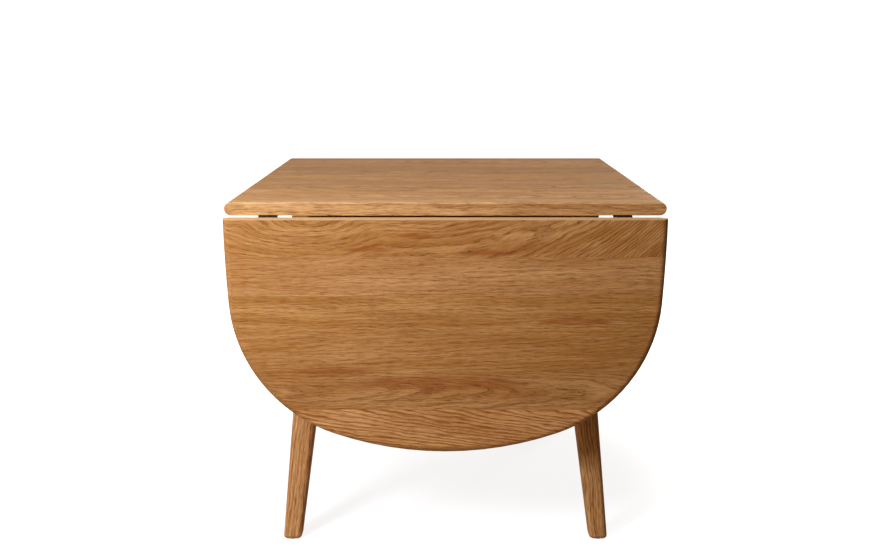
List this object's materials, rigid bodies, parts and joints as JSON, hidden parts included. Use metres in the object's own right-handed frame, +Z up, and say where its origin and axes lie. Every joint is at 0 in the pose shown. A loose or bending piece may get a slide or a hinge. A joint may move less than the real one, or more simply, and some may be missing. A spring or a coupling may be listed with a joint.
{
  "type": "drop leaf table",
  "caption": "Square oak dining table on splayed tapered legs with a D-shaped drop leaf hinged on two opposite edges, both leaves hanging.",
  "frame": {"origin": "on the floor, under the centre of the fixed panel", "axes": "+Z up, X along the hinge lines, -Y towards the front leaf"},
  "size_m": [0.85, 0.907, 0.73],
  "materials": {
    "oiled_oak": "oiled",
    "oak_frame": "oiled",
    "zinc_steel": "satin",
    "dark_steel": "satin",
    "nylon": "matte"
  },
  "bodies": {
    "table": {"top_panel": "oiled_oak", "end_rail_front": "oak_frame", "end_rail_rear": "oak_frame", "side_rail_left": "oak_frame", "side_rail_right": "oak_frame", "cross_rail": "oak_frame", "leg_front_left": "oiled_oak", "leg_front_right": "oiled_oak", "leg_rear_left": "oiled_oak", "leg_rear_right": "oiled_oak", "corner_block_front_left": "oak_frame", "corner_block_front_right": "oak_frame", "corner_block_rear_left": "oak_frame", "corner_block_rear_right": "oak_frame", "corner_bolts": "zinc_steel", "corner_nuts": "zinc_steel", "top_buttons": "oak_frame", "button_screws": "zinc_steel", "foot_glide_front_left": "nylon", "foot_glide_front_right": "nylon", "foot_glide_rear_left": "nylon", "foot_glide_rear_right": "nylon", "top_hinge_front_left": "zinc_steel", "top_hinge_front_right": "zinc_steel", "top_hinge_rear_left": "zinc_steel", "top_hinge_rear_right": "zinc_steel", "hinge_pin_front_left": "dark_steel", "hinge_pin_front_right": "dark_steel", "hinge_pin_rear_left": "dark_steel", "hinge_pin_rear_right": "dark_steel", "top_hinge_screws": "zinc_steel", "stay_bracket_front_left": "zinc_steel", "stay_bracket_front_right": "zinc_steel", "stay_bracket_rear_left": "zinc_steel", "stay_bracket_rear_right": "zinc_steel", "stay_pivots_front": "dark_steel", "stay_pivots_rear": "dark_steel", "stay_bracket_screws": "zinc_steel"},
    "front_leaf": {"front_leaf": "oiled_oak", "front_leaf_hinges": "zinc_steel", "front_leaf_hinge_screws": "zinc_steel", "front_slot_plate_left": "zinc_steel", "front_slot_plate_right": "zinc_steel", "front_slot_plate_screws": "zinc_steel"},
    "rear_leaf": {"rear_leaf": "oiled_oak", "rear_leaf_hinges": "zinc_steel", "rear_leaf_hinge_screws": "zinc_steel", "rear_slot_plate_left": "zinc_steel", "rear_slot_plate_right": "zinc_steel", "rear_slot_plate_screws": "zinc_steel"},
    "front_stay_left": {"front_strut_left": "zinc_steel", "front_slide_pin_left": "dark_steel"},
    "front_stay_right": {"front_strut_right": "zinc_steel", "front_slide_pin_right": "dark_steel"},
    "rear_stay_left": {"rear_strut_left": "zinc_steel", "rear_slide_pin_left": "dark_steel"},
    "rear_stay_right": {"rear_strut_right": "zinc_steel", "rear_slide_pin_right": "dark_steel"}
  },
  "joints": [
    {"name": "front_leaf_hinge", "type": "hinge", "parent": "table", "child": "front_leaf", "pos_m": [0, -0.425, 0.7015], "axis": [-1, 0, 0], "range_deg": [0, 90]},
    {"name": "front_stay_left_pivot", "type": "hinge", "parent": "table", "child": "front_stay_left", "pos_m": [0, -0.375, 0.6715], "axis": [-1, 0, 0], "range_deg": [0, 84.23]},
    {"name": "front_stay_right_pivot", "type": "hinge", "parent": "table", "child": "front_stay_right", "pos_m": [0, -0.375, 0.6715], "axis": [-1, 0, 0], "range_deg": [0, 84.23]},
    {"name": "rear_leaf_hinge", "type": "hinge", "parent": "table", "child": "rear_leaf", "pos_m": [0, 0.425, 0.7015], "axis": [1, 0, 0], "range_deg": [0, 90]},
    {"name": "rear_stay_left_pivot", "type": "hinge", "parent": "table", "child": "rear_stay_left", "pos_m": [0, 0.375, 0.6715], "axis": [1, 0, 0], "range_deg": [0, 84.23]},
    {"name": "rear_stay_right_pivot", "type": "hinge", "parent": "table", "child": "rear_stay_right", "pos_m": [0, 0.375, 0.6715], "axis": [1, 0, 0], "range_deg": [0, 84.23]}
  ],
  "couplings": [
    {"joint": "front_stay_left_pivot", "follows": "front_leaf_hinge", "ratio": 0.93585},
    {"joint": "front_stay_right_pivot", "follows": "front_leaf_hinge", "ratio": 0.93585},
    {"joint": "rear_stay_left_pivot", "follows": "rear_leaf_hinge", "ratio": 0.93585},
    {"joint": "rear_stay_right_pivot", "follows": "rear_leaf_hinge", "ratio": 0.93585}
  ]
}
